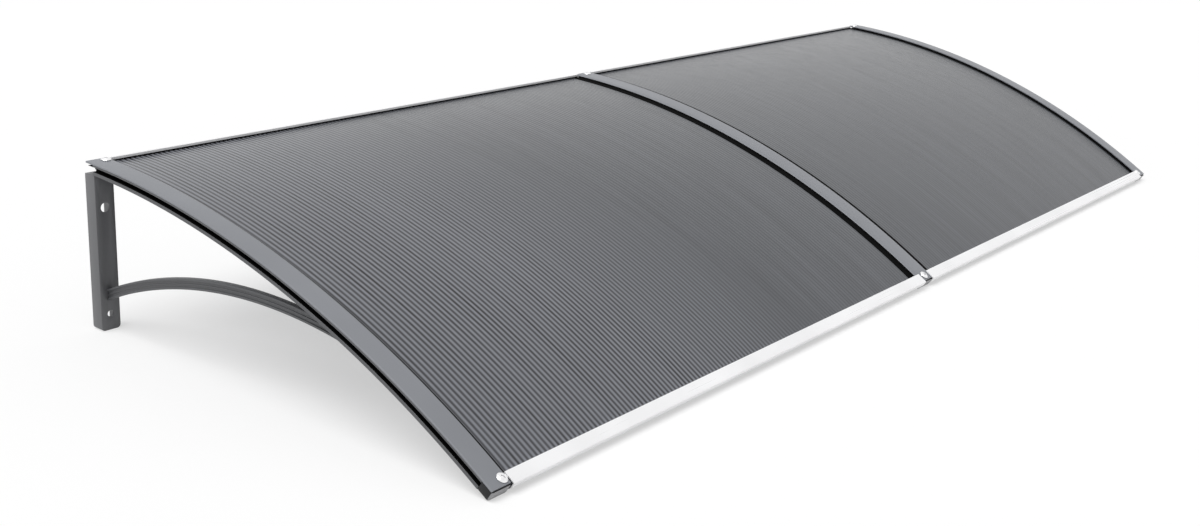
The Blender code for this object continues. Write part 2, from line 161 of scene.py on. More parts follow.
class CanopySizes(bpy.types.PropertyGroup):
    """Sizes that the canopy's pieces are drawn from."""

    width: length("Width", 2.0, "Overall width along the wall")
    height: length("Height", 0.2267, "Top of a cover's back end, above the feet")
    arc_length: length("Arc length", 0.743, "Length of a cover along its curve")
    arc_radius: length("Arc radius", 1.4, "Radius of the covers' top line")
    start_slope: FloatProperty(
        name="Start slope",
        description="Fall of the roof where it leaves the wall",
        default=math.radians(1.7),
        subtype="ANGLE",
    )
    end_rib: length("End rib", 0.030, "Width of the two outer ribs")
    centre_rib: length("Centre rib", 0.040, "Width of the middle rib")
    sheet_thick: length("Sheet", 0.0054, "Thickness of the twin-wall sheets")
    sheet_top: length("Sheet depth", 0.0053, "Top of the sheets below the covers")
    flute_pitch: length("Flute pitch", 0.0074, "Distance between the sheets' ribs")
    flute_crown: length("Flute crown", 0.0003, "Rise of the sheet between its ribs")
    # The seals' black laps are partly rubber and partly painted shade, filling the
    # shaded gap beside the covers.
    middle_seal: length("Middle seal", 0.0120, "Lap of the middle seals on the sheets")
    end_seal: length("End seal", 0.0065, "Lap of the end seals on the sheets")
    tongue: length("Tongue", 0.0040, "Width of a rib's seat on its post")
    post_top: length("Post top", 0.0167, "Top of a post below the covers")
    post_wall: length("Post wall", 0.0030, "Wall of a post")
    arm_radius: length("Arm radius", 0.7637, "Bend of the arms' lower edge")
    arm_foot: length("Arm foot", 0.1859, "Lower edge of an arm at its post")
    arm_end: length("Arm end", 0.5133, "Where an arm's tip meets its rib")
    rail_drop: length("Rail drop", 0.0070, "Foot of a front rail below the covers")
    screw_rise: length("Screw rise", 0.0030, "Height of a screw head")
    cap_length: length("Cap length", 0.0172, "Length of the front caps")
    rail_cover: length("Rail cover", 0.0155, "How far a front rail laps the sheet")
    screw_inset: length("Screw inset", 0.0232, "Outer screws from the canopy's side")
    cap_step: length("Cap step", 0.0020, "How far a front cap passes its cover")
    post_width: length("Post width", 0.0276, "Width of a wall post")
    post_depth: length("Post depth", 0.0198, "Depth of a wall post")
    post_back: length("Post back", 0.0050, "How far a post passes the covers' back end")
    steps: IntProperty(
        name="Arc steps",
        description="Facets along the curved pieces",
        default=96,
        min=12,
        max=240,
    )


class CanopyFinishes(bpy.types.PropertyGroup):
    """Colours of the canopy's finishes."""

    cover: colour("Cover", (0.208, 0.216, 0.236), "Powder coat on the covers")
    rib: colour("Rib", (0.080, 0.082, 0.088), "Powder coat on the ribs")
    arm: colour("Arm", (0.080, 0.082, 0.087), "Powder coat on the arms")
    post: colour("Post", (0.130, 0.132, 0.138), "Powder coat on the wall posts")
    cap: colour("Cap", (0.016, 0.016, 0.017), "Sides of the front caps")
    cap_face: colour("Cap face", (0.28, 0.28, 0.29), "Front faces of the caps")
    rail: colour("Rail", (0.90, 0.90, 0.91), "Bright aluminium rails")
    sheet: colour("Sheet", (0.076, 0.080, 0.089), "Tinted twin-wall sheet")
    # Painted light and shade: the crest and line tones paint the light and shade seen
    # through the sheet's cells at the left end.
    crest: colour("Flute crest", (0.195, 0.202, 0.226), "Sheet between its inner ribs")
    flute: colour("Flute line", (0.004, 0.004, 0.005), "Sheet over its inner ribs")
    # Near-black rubber of the seals. The same paint is also painted shade in the ribs'
    # side slots and on the covers' and flanges' sides beside the sheets.
    seal: colour("Seal", (0.004, 0.004, 0.004), "Rubber seals")
    screw: colour("Screw", (0.90, 0.90, 0.91), "Bright screws")
    floor: colour("Floor", (0.96, 0.96, 0.96), "Studio floor")


def sizes():
    return bpy.context.scene.canopy_sizes


def finishes():
    return bpy.context.scene.canopy_finishes


def arc_point(s, below):
    """(y, z) from the top edge of a cover's back end, at arc length s."""
    own = sizes()
    angle = own.start_slope + s / own.arc_radius
    reach = own.arc_radius - below
    y = own.arc_radius * math.sin(own.start_slope) - reach * math.sin(angle)
    z = reach * math.cos(angle) - own.arc_radius * math.cos(own.start_slope)
    return y, z


def wall_start(below):
    """The arc length at which a line that deep meets the plane of the back end."""
    own = sizes()
    rise = own.arc_radius * math.sin(own.start_slope) / (own.arc_radius - below)
    return (math.asin(rise) - own.start_slope) * own.arc_radius


def back_end_y():
    """Where the covers' back end lies, with the canopy's depth centred on zero."""
    own = sizes()
    outer = GAP + RAIL_THICK
    front = arc_point(own.arc_length + outer, -outer)[0]
    return -(front + own.post_back) / 2


def post_front():
    """How far a post stands out in front of the covers' back end."""
    return sizes().post_depth - sizes().post_back


def place(x, y, z):
    """A point measured from the covers' back end and top, in the canopy's frame."""
    return Vector((x, back_end_y() + y, sizes().height + z))


def arc_axis(s):
    """The direction straight out of the roof at arc length s."""
    angle = sizes().start_slope + s / sizes().arc_radius
    return Vector((0, -math.sin(angle), math.cos(angle)))


def rib_places():
    """(side, middle, width, screw position) of each rib."""
    own = sizes()
    end = own.width / 2 - own.end_rib / 2
    screw = own.width / 2 - own.screw_inset
    return (
        ("left", -end, own.end_rib, -screw),
        ("centre", 0.0, own.centre_rib, 0.0),
        ("right", end, own.end_rib, screw),
    )


def mirrored(section):
    """A closed section from the points of its left half."""
    return section + [(-x, below) for x, below in reversed(section)]


def finish_piece(obj, nodes, paint):
    """Gives a piece its material and puts it in the frame in its solids' place."""
    obj.data.materials.append(PAINTS[paint])
    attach(obj, "root")
    if nodes:
        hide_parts(*nodes)


def new_piece(name, mesh):
    """An object in the scene that shows a mesh."""
    obj = bpy.data.objects.new(name, mesh)
    bpy.context.scene.collection.objects.link(obj)
    return obj


def add_loft(work, rings):
    """Adds a closed solid through rings of points to a bmesh."""
    made = [[work.verts.new(point) for point in ring] for ring in rings]
    count = len(made[0])
    for first, second in zip(made, made[1:]):
        for i in range(count):
            j = (i + 1) % count
            work.faces.new((first[i], first[j], second[j], second[i]))
    work.faces.new(list(reversed(made[0])))
    work.faces.new(made[-1])


def write_mesh(name, work, sharp=math.radians(25)):
    """Turns a bmesh into an object, smooth apart from its sharp edges."""
    bmesh.ops.recalc_face_normals(work, faces=work.faces)
    for face in work.faces:
        face.smooth = True
    for edge in work.edges:
        edge.smooth = edge.calc_face_angle(0.0) < sharp
    mesh = bpy.data.meshes.new(name)
    work.to_mesh(mesh)
    work.free()
    return new_piece(name, mesh)


def arc_rings(section, start, end, steps):
    """Rings of a section swept along the arc, from the wall's plane if start is None."""
    rings = []
    for k in range(steps + 1):
        ring = []
        for x, below in section:
            first = wall_start(below) if start is None else start
            s = first + (end - first) * k / steps
            ring.append(place(x, *arc_point(s, below)))
        rings.append(ring)
    return rings


def bar_rings(section, x_start, x_end, steps=1):
    """Rings of a (y, z) section carried straight along X."""
    rings = []
    for k in range(steps + 1):
        x = x_start + (x_end - x_start) * k / steps
        rings.append([place(x, y, z) for y, z in section])
    return rings


def add_round(work, radius, start, direction, reach, steps=32):
    """Adds a round bar to a bmesh."""
    turn = direction.to_track_quat("Z", "Y").to_matrix()
    rings = []
    for along in (0.0, reach):
        ring = []
        for i in range(steps):
            angle = 2 * math.pi * i / steps
            local = Vector((radius * math.cos(angle), radius * math.sin(angle), along))
            ring.append(start + turn @ local)
        rings.append(ring)
    add_loft(work, rings)


def cut(obj, work, name, operation="DIFFERENCE"):
    """Cuts the bmesh's solids out of a piece, or joins them to it, for good."""
    bmesh.ops.recalc_face_normals(work, faces=work.faces)
    mesh = bpy.data.meshes.new(name)
    work.to_mesh(mesh)
    work.free()
    cutter = new_piece(name, mesh)
    step = obj.modifiers.new(name, "BOOLEAN")
    step.operation = operation
    step.solver = "EXACT"
    step.object = cutter
    keep_shape(obj)
    bpy.data.objects.remove(cutter)


def soften(obj, width, segments=2, angle=math.radians(40)):
    """Rounds a piece's edges a little and keeps the result as its mesh."""
    step = obj.modifiers.new("edges", "BEVEL")
    step.width = width
    step.segments = segments
    step.limit_method = "ANGLE"
    step.angle_limit = angle
    step.harden_normals = False
    step.use_clamp_overlap = True
    keep_shape(obj)


def keep_shape(obj):
    """Applies a piece's modifiers."""
    bpy.context.view_layer.update()
    graph = bpy.context.evaluated_depsgraph_get()
    made = bpy.data.meshes.new_from_object(obj.evaluated_get(graph))
    old = obj.data
    obj.modifiers.clear()
    obj.data = made
    bpy.data.meshes.remove(old)


def paint_faces(obj, paint, chosen):
    """Gives a second material to the faces whose middle and normal are chosen."""
    obj.data.materials.append(PAINTS[paint])
    last = len(obj.data.materials) - 1
    for face in obj.data.polygons:
        if chosen(face.center, face.normal):
            face.material_index = last


def depth_under_cover(point):
    """How far a point lies under the arc of the covers' top."""
    own = sizes()
    y = point.y - back_end_y() - own.arc_radius * math.sin(own.start_slope)
    z = point.z - own.height + own.arc_radius * math.cos(own.start_slope)
    return own.arc_radius - math.hypot(y, z)


def resmooth(obj, sharp=math.radians(35)):
    """Smooths a piece again after its cuts, apart from its sharp edges."""
    work = bmesh.new()
    work.from_mesh(obj.data)
    for face in work.faces:
        face.smooth = True
    for edge in work.edges:
        edge.smooth = edge.calc_face_angle(0.0) < sharp
    work.to_mesh(obj.data)
    work.free()


class Paint:
    """A material under construction, with its nodes laid out from left to right."""

    def __init__(self, name):
        self.material = bpy.data.materials.new(name)
        self.material.use_nodes = True
        self.tree = self.material.node_tree
        self.shader = self.tree.nodes["Principled BSDF"]
        self.column = -1200

    def node(self, kind, **values):
        made = self.tree.nodes.new(kind)
        made.location = (self.column, 300)
        self.column += 160
        for key, value in values.items():
            setattr(made, key, value)
        return made

    def link(self, source, target):
        self.tree.links.new(source, target)

    def place(self, stretch=(1.0, 1.0, 1.0)):
        """Object coordinates, stretched for streaks."""
        where = self.node("ShaderNodeTexCoord")
        scale = self.node("ShaderNodeMapping")
        scale.inputs["Scale"].default_value = stretch
        self.link(where.outputs["Object"], scale.inputs["Vector"])
        return scale.outputs["Vector"]

    def noise(self, vector, scale, detail=3.0):
        made = self.node("ShaderNodeTexNoise")
        made.inputs["Scale"].default_value = scale
        made.inputs["Detail"].default_value = detail
        self.link(vector, made.inputs["Vector"])
        return made.outputs["Fac"]

    def spread(self, value, low, high, from_low=0.3, from_high=0.7):
        made = self.node("ShaderNodeMapRange")
        made.inputs["From Min"].default_value = from_low
        made.inputs["From Max"].default_value = from_high
        made.inputs["To Min"].default_value = low
        made.inputs["To Max"].default_value = high
        self.link(value, made.inputs["Value"])
        return made.outputs["Result"]

    def tint(self, value, base, dark, light):
        """Base colour that drifts between a darker and a lighter tone."""
        made = self.node("ShaderNodeMix", data_type="RGBA")
        made.inputs["A"].default_value = (*[c * dark for c in base], 1.0)
        made.inputs["B"].default_value = (*[min(1.0, c * light) for c in base], 1.0)
        self.link(value, made.inputs["Factor"])
        return made.outputs["Result"]

    def math(self, operation, first, second=None):
        made = self.node("ShaderNodeMath", operation=operation)
        for socket, value in zip(made.inputs, (first, second)):
            if value is None:
                continue
            if isinstance(value, float):
                socket.default_value = value
            else:
                self.link(value, socket)
        return made.outputs["Value"]

    def bump(self, height, strength, distance):
        made = self.node("ShaderNodeBump")
        made.inputs["Strength"].default_value = strength
        made.inputs["Distance"].default_value = distance
        self.link(height, made.inputs["Height"])
        self.link(made.outputs["Normal"], self.shader.inputs["Normal"])

    def set(self, **values):
        for key, value in values.items():
            self.shader.inputs[key.replace("_", " ")].default_value = value


def powder_coat(name, base, roughness):
    """Fine orange-peel powder coat on aluminium."""
    paint = Paint(name)
    paint.set(Metallic=0.0, IOR=1.5)
    vector = paint.place()
    drift = paint.noise(vector, 6.0)
    grain = paint.noise(vector, 900.0, 2.0)
    tone = paint.tint(paint.spread(drift, 0.0, 1.0), base, 0.94, 1.06)
    paint.link(tone, paint.shader.inputs["Base Color"])
    rough = paint.spread(grain, roughness - 0.05, roughness + 0.06)
    paint.link(rough, paint.shader.inputs["Roughness"])
    paint.bump(grain, 0.12, 0.0001)
    return paint.material


def moulded(name, base, roughness, gloss=0.5):
    """Moulded plastic or rubber with a fine grain."""
    paint = Paint(name)
    paint.set(Specular_IOR_Level=gloss)
    vector = paint.place()
    grain = paint.noise(vector, 1400.0, 2.0)
    drift = paint.noise(vector, 30.0)
    tone = paint.tint(paint.spread(drift, 0.0, 1.0), base, 0.85, 1.15)
    paint.link(tone, paint.shader.inputs["Base Color"])
    rough = paint.spread(grain, roughness - 0.06, roughness + 0.06)
    paint.link(rough, paint.shader.inputs["Roughness"])
    paint.bump(grain, 0.15, 0.0001)
    return paint.material


def mill_aluminium(name, base, metallic):
    """Extruded aluminium with die lines along the wall."""
    paint = Paint(name)
    paint.set(Metallic=metallic)
    lines = paint.noise(paint.place((3.0, 700.0, 700.0)), 1.0, 4.0)
    drift = paint.noise(paint.place(), 9.0)
    tone = paint.tint(paint.spread(drift, 0.0, 1.0), base, 0.95, 1.04)
    paint.link(tone, paint.shader.inputs["Base Color"])
    rough = paint.spread(lines, 0.26, 0.42)
    paint.link(rough, paint.shader.inputs["Roughness"])
    paint.bump(lines, 0.10, 0.0001)
    return paint.material


def bright_steel(name, base):
    """Polished screw heads with faint turning marks."""
    paint = Paint(name)
    paint.set(Metallic=1.0)
    smudge = paint.noise(paint.place(), 260.0)
    tone = paint.tint(paint.spread(smudge, 0.0, 1.0), base, 0.90, 1.05)
    paint.link(tone, paint.shader.inputs["Base Color"])
    rough = paint.spread(smudge, 0.08, 0.20)
    paint.link(rough, paint.shader.inputs["Roughness"])
    paint.bump(smudge, 0.05, 0.0001)
    return paint.material


def tinted_sheet(name, base, crest, line, pitch, first):
    """Dark glossy twin-wall sheet with painted light and shade: its inner ribs are real,
    but their dark lines between lighter crests, strongest at the left end and fading out
    to the right, paint the light and shade seen through the sheet there.

    On either side of the canopy's middle the inner ribs stand a pitch apart, from
    the first one outwards, and each shows as a dark line.
    """
    paint = Paint(name)
    paint.set(IOR=1.5, Specular_IOR_Level=0.30)
    vector = paint.place()
    split = paint.node("ShaderNodeSeparateXYZ")
    paint.link(vector, split.inputs["Vector"])
    across = paint.math("SUBTRACT", paint.math("ABSOLUTE", split.outputs["X"]), first)
    cell = paint.math("FRACT", paint.math("DIVIDE", across, pitch))
    away = paint.math("ABSOLUTE", paint.math("SUBTRACT", cell, 0.5))
    wall = paint.spread(away, 0.0, 1.0, 0.12, 0.38)
    streaks = paint.noise(paint.place((95.0, 5.0, 5.0)), 1.0, 4.0)
    patchy = paint.noise(vector, 3.0)
    shown = paint.math(
        "MULTIPLY", paint.spread(streaks, 0.75, 1.0), paint.spread(patchy, 0.85, 1.0)
    )
    # Painted light and shade: lighter crests with dark lines over the inner ribs.
    painted_light_flutes = paint.node("ShaderNodeMix", data_type="RGBA")
    paint.link(paint.math("MULTIPLY", wall, shown), painted_light_flutes.inputs["Factor"])
    painted_light_flutes.inputs["A"].default_value = (*crest, 1.0)
    painted_light_flutes.inputs["B"].default_value = (*line, 1.0)
    body = paint.tint(paint.spread(streaks, 0.0, 1.0), base, 0.85, 1.18)
    made = paint.node("ShaderNodeMix", data_type="RGBA")
    slant = paint.math("MULTIPLY", split.outputs["Y"], LINES_FADE_SLANT)
    along = paint.math("ADD", split.outputs["X"], slant)
    # The painted light and shade fades into the plain tint towards the right.
    painted_light_fade = paint.spread(along, 0.0, 0.92, LINES_FADE_FROM, LINES_FADE_TO)
    paint.link(painted_light_fade, made.inputs["Factor"])
    paint.link(painted_light_flutes.outputs["Result"], made.inputs["A"])
    paint.link(body, made.inputs["B"])
    paint.link(made.outputs["Result"], paint.shader.inputs["Base Color"])
    film = paint.noise(vector, 40.0)
    paint.link(paint.spread(film, 0.10, 0.20), paint.shader.inputs["Roughness"])
    paint.bump(streaks, 0.10, 0.0002)
    return paint.material


def end_cover_section(half):
    """Flat strip with rounded upper edges."""
    corner = 0.0010
    left = [(-half, COVER_THICK), (-half, corner)]
    for degrees in (18, 36, 54, 72, 90):
        angle = math.radians(degrees)
        x = -half + corner * (1 - math.cos(angle))
        left.append((x, corner * (1 - math.sin(angle))))
    return mirrored(left)


def centre_cover_section(half):
    """Broad strip whose sides curve down to thin edges."""
    fall = 0.0033
    run = 0.0090
    edge = 0.0037
    left = [
        (-half + 0.0060, COVER_THICK),
        (-half + 0.0030, edge),
        (-half, edge),
        (-half, fall),
    ]
    for k in range(1, 9):
        angle = math.radians(90 * k / 8)
        x = -half + run * (1 - math.cos(angle))
        left.append((x, fall * (1 - math.sin(angle))))
    return mirrored(left)


def rib_section(half, centre):
    """Plate, lips, web and upper flange of a rib, seen along the arc."""
    web = WEB_THICK / 2
    flange = [(-web, SLOT_TOP), (-half + 0.0009, SLOT_TOP)]
    if centre:
        flange += [
            (-half + 0.0005, SLOT_TOP - EDGE),
            (-half + 0.0005, SHOULDER + 0.0002),
            (-half + 0.0008, SHOULDER),
            (-half + 0.0026, SHOULDER),
            (-half + 0.0064, FLANGE_TOP),
        ]
    else:
        flange += [
            (-half + 0.0004, SLOT_TOP - EDGE),
            (-half + 0.0002, SHOULDER + 0.0002),
            (-half + 0.0002, 0.0030),
            (-half + 0.0004, FLANGE_TOP + 0.0002),
            (-half + 0.0008, FLANGE_TOP),
        ]
    lower = [
        (-half + LIP_THICK, PLATE_BOTTOM),
        (-half + LIP_THICK, LIP_BOTTOM - EDGE),
        (-half + LIP_THICK - EDGE, LIP_BOTTOM),
        (-half + EDGE, LIP_BOTTOM),
        (-half, LIP_BOTTOM - EDGE),
        (-half, SLOT_BOTTOM + EDGE),
        (-half + EDGE, SLOT_BOTTOM),
        (-web, SLOT_BOTTOM),
    ]
    return mirrored(lower + flange)


def shifted(section, x):
    """A section moved sideways."""
    return [(x + px, below) for px, below in section]


def first_flute():
    """Where the first inner rib of a sheet stands, beside the middle rib."""
    return sizes().centre_rib / 2 + 0.0012


def painted_shade_sides(piece, under):
    """Paints shade: blackens the sides of a cover or a flange that face the sheets,
    where the gap beside them falls in shade.
    """

    def chosen(middle, normal):
        inward = abs(middle.x) < sizes().width / 2 - 0.010
        return inward and abs(normal.x) > 0.75 and depth_under_cover(middle) > under

    paint_faces(piece, "seal", chosen)


def bend_centre(y_from, z_from, y_to, z_to, radius):
    """The centre, below the line between two points, of a bend through both."""
    half = math.hypot(y_to - y_from, z_to - z_from) / 2
    drop = math.sqrt(radius * radius - half * half)
    along_y = (y_to - y_from) / (2 * half)
    along_z = (z_to - z_from) / (2 * half)
    y = (y_from + y_to) / 2 - along_z * drop
    z = (z_from + z_to) / 2 + along_y * drop
    return y, z


class CANOPY_OT_finishes(bpy.types.Operator):
    """Makes the canopy's materials."""

    bl_idname = "canopy.finishes"
    bl_label = "Finishes"

    def execute(self, context):
        own = context.scene.canopy_finishes
        PAINTS["cover"] = powder_coat("cover_powder_coat", own.cover, 0.42)
        PAINTS["rib"] = powder_coat("rib_powder_coat", own.rib, 0.42)
        PAINTS["arm"] = powder_coat("arm_powder_coat", own.arm, 0.45)
        PAINTS["post"] = powder_coat("post_powder_coat", own.post, 0.45)
        PAINTS["cap"] = moulded("cap_side", own.cap, 0.55, 0.25)
        PAINTS["cap_face"] = powder_coat("cap_face", own.cap_face, 0.45)
        PAINTS["rail"] = mill_aluminium("rail_aluminium", own.rail, 0.45)
        PAINTS["back_rail"] = mill_aluminium("back_rail_aluminium", own.rail, 0.15)
        pitch = context.scene.canopy_sizes.flute_pitch
        first = first_flute()
        tones = own.sheet, own.crest, own.flute
        PAINTS["sheet"] = tinted_sheet("tinted_sheet", *tones, pitch, first)
        # Rubber seals, and also painted shade in the ribs' slots and along the covers'
        # sides.
        PAINTS["seal"] = moulded("seal_rubber_and_painted_shade", own.seal, 0.75, 0.02)
        PAINTS["screw"] = bright_steel("bright_screw", own.screw)
        return {"FINISHED"}


class CANOPY_OT_covers(bpy.types.Operator):
    """Builds the cover strip on top of each rib."""

    bl_idname = "canopy.covers"
    bl_label = "Covers"

    def execute(self, context):
        own = context.scene.canopy_sizes
        for side, x, width, screw in rib_places():
            half = width / 2
            section = end_cover_section(half)
            if side == "centre":
                section = centre_cover_section(half)
            work = bmesh.new()
            end = own.arc_length - own.cap_step
            rings = arc_rings(shifted(section, x), None, end, own.steps)
            add_loft(work, rings)
            piece = write_mesh(f"cover_{side}", work, math.radians(35))
            finish_piece(piece, [f"cover_strip_{side}"], "cover")
            # Painted shade: the cover's sides beside the sheets are made black.
            painted_shade_sides(piece, COVER_THICK - 0.0001)
        return {"FINISHED"}


class CANOPY_OT_ribs(bpy.types.Operator):
    """Builds the arched ribs under the covers."""

    bl_idname = "canopy.ribs"
    bl_label = "Ribs"

    def execute(self, context):
        own = context.scene.canopy_sizes
        end = own.arc_length - own.cap_length - GAP
        for side, x, width, _ in rib_places():
            work = bmesh.new()
            section = shifted(rib_section(width / 2, side == "centre"), x)
            add_loft(work, arc_rings(section, None, end, own.steps))
            piece = write_mesh(f"rib_{side}", work, math.radians(40))
            notch = bmesh.new()
            back = -FLANGE_CUT_BACK
            low = -SLOT_TOP - 0.0001
            corners = ((back, 0.01), (back, low), (0.01, low), (0.01, 0.01))
            add_loft(notch, bar_rings(corners, x - width, x + width))
            cut(piece, notch, f"rib_notch_{side}")
            self.seat(piece, side, x, width)
            resmooth(piece, math.radians(30))
            finish_piece(piece, [f"rafter_{side}"], "rib")
            # Painted shade: the faces inside the side slots are made black, as the
            # slots' deep shade.
            paint_faces(piece, "seal", self.in_shaded_slot)
            # Painted shade: the flange's sides beside the sheets are made black.
            painted_shade_sides(piece, FLANGE_TOP - 0.0001)
        return {"FINISHED"}

    def seat(self, piece, side, x, width):
        """Ends the plate at the post's front, with a tongue on the post's top."""
        own = sizes()
        front = -post_front() - GAP
        high = -SLOT_TOP - 0.0030
        low = -LIP_BOTTOM - 0.0145
        corners = ((front, low), (front, high), (0.01, high), (0.01, low))
        for inner, outer in ((-own.tongue / 2, -width), (own.tongue / 2, width)):
            tools = bmesh.new()
            add_loft(tools, bar_rings(corners, x + inner, x + outer))
            cut(piece, tools, f"rib_seat_{side}")
        foot = -own.post_top + GAP
        back = -0.0020
        inside = -PLATE_BOTTOM + 0.0010
        corners = ((-post_front(), foot), (-post_front(), inside))
        corners += ((back, inside), (back, foot))
        tools = bmesh.new()
        add_loft(tools, bar_rings(corners, x - own.tongue / 2, x + own.tongue / 2))
        cut(piece, tools, f"rib_tongue_{side}", "UNION")

    def in_shaded_slot(self, middle, normal):
        """True for the faces inside a rib's side slots, which are painted black as the
        slots' shade.
        """
        return SLOT_TOP - EDGE < depth_under_cover(middle) < SLOT_BOTTOM + 0.00005


class CANOPY_OT_caps(bpy.types.Operator):
    """Builds the blocks that close the ribs' front ends."""

    bl_idname = "canopy.caps"
    bl_label = "Front caps"

    def execute(self, context):
        own = context.scene.canopy_sizes
        stations = (
            (own.cap_length, 0.0),
            (CAP_SIDE_CHAMFER, 0.0),
            (0.0, CAP_FRONT_CHAMFER),
        )
        for side, x, width, _ in rib_places():
            rings = []
            for back, cut_in in stations:
                s = own.arc_length - back
                section = self.section(width / 2, side == "centre", cut_in)
                rings.append([place(x + px, *arc_point(s, low)) for px, low in section])
            work = bmesh.new()
            add_loft(work, rings)
            piece = write_mesh(f"cap_{side}", work)
            soften(piece, 0.0004)
            resmooth(piece)
            finish_piece(piece, [f"front_end_cap_{side}"], "cap")
            paint_faces(piece, "cap_face", self.on_front)
        return {"FINISHED"}

    def section(self, half, centre, cut_in):
        """A cap's section, drawn in at the edges by its chamfer."""
        side_cut = cut_in * 1.6
        left = [
            (-half + CAP_FOOT_INSET + side_cut, LIP_BOTTOM - cut_in),
            (-half + 0.0004 + cut_in, LIP_BOTTOM - 0.0020 - cut_in),
            (-half + side_cut, SLOT_BOTTOM - cut_in),
        ]
        if centre:
            left.append((-half + side_cut, SHOULDER))
            left.append((-half + 0.0026, SHOULDER))
            left.append((-half + 0.0064, FLANGE_TOP))
        else:
            left.append((-half + side_cut, 0.0030))
            left.append((-half + 0.0007 + side_cut, FLANGE_TOP))
        return mirrored(left)

    def on_front(self, middle, normal):
        """True for a cap's front face and the chamfers around it."""
        own = sizes()
        angle = own.start_slope + (own.arc_length - own.cap_length) / own.arc_radius
        forward = Vector((0, -math.cos(angle), -math.sin(angle))).normalized()
        return normal.dot(forward) > 0.35


class CANOPY_OT_sheets(bpy.types.Operator):
    """Builds the two bent twin-wall sheets with their inner ribs and edge seals."""

    bl_idname = "canopy.sheets"
    bl_label = "Sheets"

    def execute(self, context):
        own = context.scene.canopy_sizes
        web = own.tongue / 2
        reach = own.width / 2 - own.end_rib / 2 - web
        clear_end = own.width / 2 - own.end_rib - SHEET_CLEAR
        clear_middle = own.centre_rib / 2 + SHEET_CLEAR
        top = own.sheet_top
        bottom = top + own.sheet_thick
        skin = SHEET_SKIN
        front = own.arc_length - GAP
        held = own.arc_length - own.cap_length - 0.0012
        for side, turn in (("left", -1), ("right", 1)):
            work = bmesh.new()
            for near, far in ((web, clear_middle), (clear_end, reach)):
                for high, low in ((top, top + skin), (bottom - skin, bottom)):
                    section = [
                        (turn * near, high),
                        (turn * far, high),
                        (turn * far, low),
                        (turn * near, low),
                    ]
                    add_loft(work, arc_rings(section, SHEET_BACK, held, own.steps))
            crests = self.crowned(clear_middle, clear_end)
            for high, low, lift in ((top, top + skin, 1), (bottom, bottom - skin, -1)):
                section = [(turn * x, high + lift * sink) for x, sink in crests]
                section += [(turn * clear_end, low), (turn * clear_middle, low)]
                add_loft(work, arc_rings(section, SHEET_BACK, front, 64))
            x = first_flute()
            while x < clear_end - 0.0006:
                near = turn * (x - SHEET_RIB / 2)
                far = turn * (x + SHEET_RIB / 2)
                high = top + skin / 2
                low = bottom - skin / 2
                section = [(near, high), (far, high), (far, low), (near, low)]
                rings = arc_rings(section, SHEET_BACK + 0.0001, front - 0.0001, 32)
                add_loft(work, rings)
                x += own.flute_pitch
            piece = write_mesh(f"sheet_{side}", work, math.radians(40))
            finish_piece(piece, [f"roof_panel_{side}"], "sheet")
            self.seals(side, turn)
        return {"FINISHED"}

    def crowned(self, start, end):
        """Points of a skin that rises a little between the sheet's inner ribs."""
        own = sizes()
        points = [(start, own.flute_crown / 2)]
        x = first_flute()
        while x < end:
            for share in (0.0, 0.12, 0.32, 0.5, 0.68, 0.88):
                at = x + share * own.flute_pitch
                if start < at < end - 0.0001:
                    points.append((at, own.flute_crown * (2 * share - 1) ** 2))
            x += own.flute_pitch
        points.append((end, own.flute_crown / 2))
        return points

    def seals(self, side, turn):
        """Black rubber lips between the covers' edges and a sheet, laid wide so that
        they also stand in for the shade in the gap beside the covers.
        """
        own = sizes()
        top = own.sheet_top - 0.0001
        middle_edge = own.centre_rib / 2
        end_edge = own.width / 2 - own.end_rib
        edges = (
            ("middle", middle_edge - 0.0003, middle_edge + own.middle_seal),
            ("end", end_edge + 0.0001, end_edge - own.end_seal),
        )
        for where, inner, outer in edges:
            lean = 1 if outer > inner else -1
            section = [
                (turn * inner, top),
                (turn * inner, top - 0.0010),
                (turn * (outer - lean * 0.0016), top - 0.0009),
                (turn * (outer - lean * 0.0006), top - 0.0006),
                (turn * outer, top - 0.0001),
                (turn * outer, top),
            ]
            work = bmesh.new()
            end = own.arc_length - own.rail_cover - 0.0010
            add_loft(work, arc_rings(section, SEAL_BACK, end, own.steps))
            piece = write_mesh(f"sheet_seal_{where}_{side}", work, math.radians(40))
            finish_piece(piece, [], "seal")


